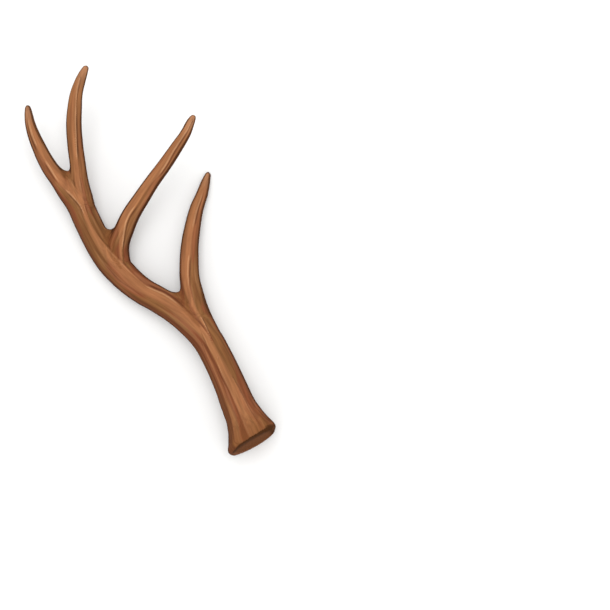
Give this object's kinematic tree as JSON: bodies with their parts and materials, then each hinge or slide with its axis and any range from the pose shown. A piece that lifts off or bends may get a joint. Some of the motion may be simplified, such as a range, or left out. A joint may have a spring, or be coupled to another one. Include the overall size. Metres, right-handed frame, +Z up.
{
  "type": "reindeer antler",
  "caption": "Cut reindeer antler lying on its side, with a flared flat-cut base, a curved beam and four smooth tines.",
  "frame": {"origin": "bottom centre of the bounding box, on the surface that the antler lies on", "axes": "+Y runs from the cut base towards the tips, +Z up from the surface it lies on"},
  "size_m": [0.2471, 0.3845, 0.0825],
  "materials": {
    "bone": "smooth brown bone with lengthwise streaks, satin"
  },
  "bodies": {
    "root": {"beam": "bone", "brow_tine": "bone", "second_tine": "bone", "top_tine": "bone", "outer_tine": "bone"}
  },
  "joints": []
}
